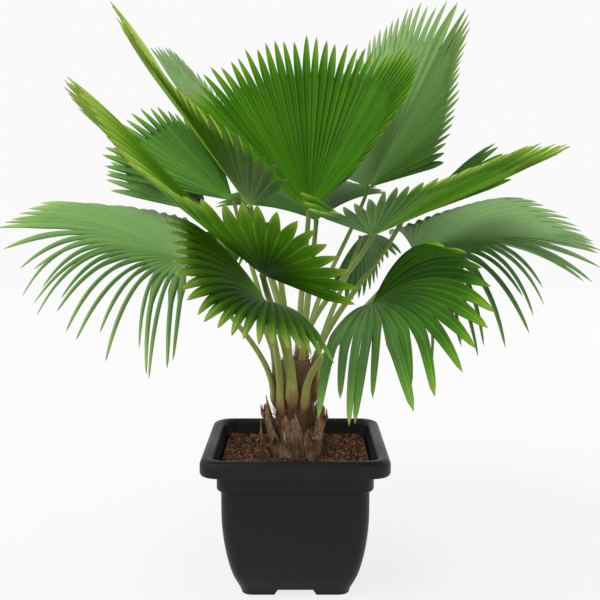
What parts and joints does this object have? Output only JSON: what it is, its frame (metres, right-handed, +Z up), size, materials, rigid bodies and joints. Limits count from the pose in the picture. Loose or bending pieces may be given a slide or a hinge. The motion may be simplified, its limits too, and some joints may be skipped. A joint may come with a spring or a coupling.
{
  "type": "potted palm",
  "caption": "Fan palm with a short fibrous trunk and pleated round leaves on long stems, growing in a square planter with a rolled rim and corner feet.",
  "frame": {"origin": "centre of the whole plant's spread, on the floor that the planter stands on; the planter's axis stands 10 mm towards -X and 70 mm towards +Y of it", "axes": "+Z up; the front of the plant faces -Y; X runs across it"},
  "size_m": [1.2883, 1.4288, 1.3124],
  "materials": {
    "planter": "moulded black plastic with a fine satin grain",
    "soil": "loose brown bark and coir mix",
    "trunk": "brown fibrous trunk",
    "old_leaf_base": "dry torn leaf bases, grey-brown to tan",
    "leaf_stem": "smooth ribbed green stem with small thorns",
    "leaf_blade": "glossy pleated green leaf with pale ribs"
  },
  "bodies": {
    "root": {"pot": "planter", "soil": "soil", "trunk": "trunk", "old_leaf_base_1": "old_leaf_base", "old_leaf_base_2": "old_leaf_base", "old_leaf_base_3": "old_leaf_base", "old_leaf_base_4": "old_leaf_base", "old_leaf_base_5": "old_leaf_base", "old_leaf_base_6": "old_leaf_base", "old_leaf_base_7": "old_leaf_base", "old_leaf_base_8": "old_leaf_base", "old_leaf_base_9": "old_leaf_base", "leaf_01_stem": "leaf_stem", "leaf_01_blade": "leaf_blade", "leaf_02_stem": "leaf_stem", "leaf_02_blade": "leaf_blade", "leaf_03_stem": "leaf_stem", "leaf_03_blade": "leaf_blade", "leaf_04_stem": "leaf_stem", "leaf_04_blade": "leaf_blade", "leaf_05_stem": "leaf_stem", "leaf_05_blade": "leaf_blade", "leaf_06_stem": "leaf_stem", "leaf_06_blade": "leaf_blade", "leaf_07_stem": "leaf_stem", "leaf_07_blade": "leaf_blade", "leaf_08_stem": "leaf_stem", "leaf_08_blade": "leaf_blade", "leaf_09_stem": "leaf_stem", "leaf_09_blade": "leaf_blade", "leaf_10_stem": "leaf_stem", "leaf_10_blade": "leaf_blade", "leaf_11_stem": "leaf_stem", "leaf_11_blade": "leaf_blade", "leaf_12_stem": "leaf_stem", "leaf_12_blade": "leaf_blade", "leaf_13_stem": "leaf_stem", "leaf_13_blade": "leaf_blade", "leaf_14_stem": "leaf_stem", "leaf_14_blade": "leaf_blade", "leaf_15_stem": "leaf_stem", "leaf_15_blade": "leaf_blade", "leaf_16_stem": "leaf_stem", "leaf_16_blade": "leaf_blade"}
  },
  "joints": []
}
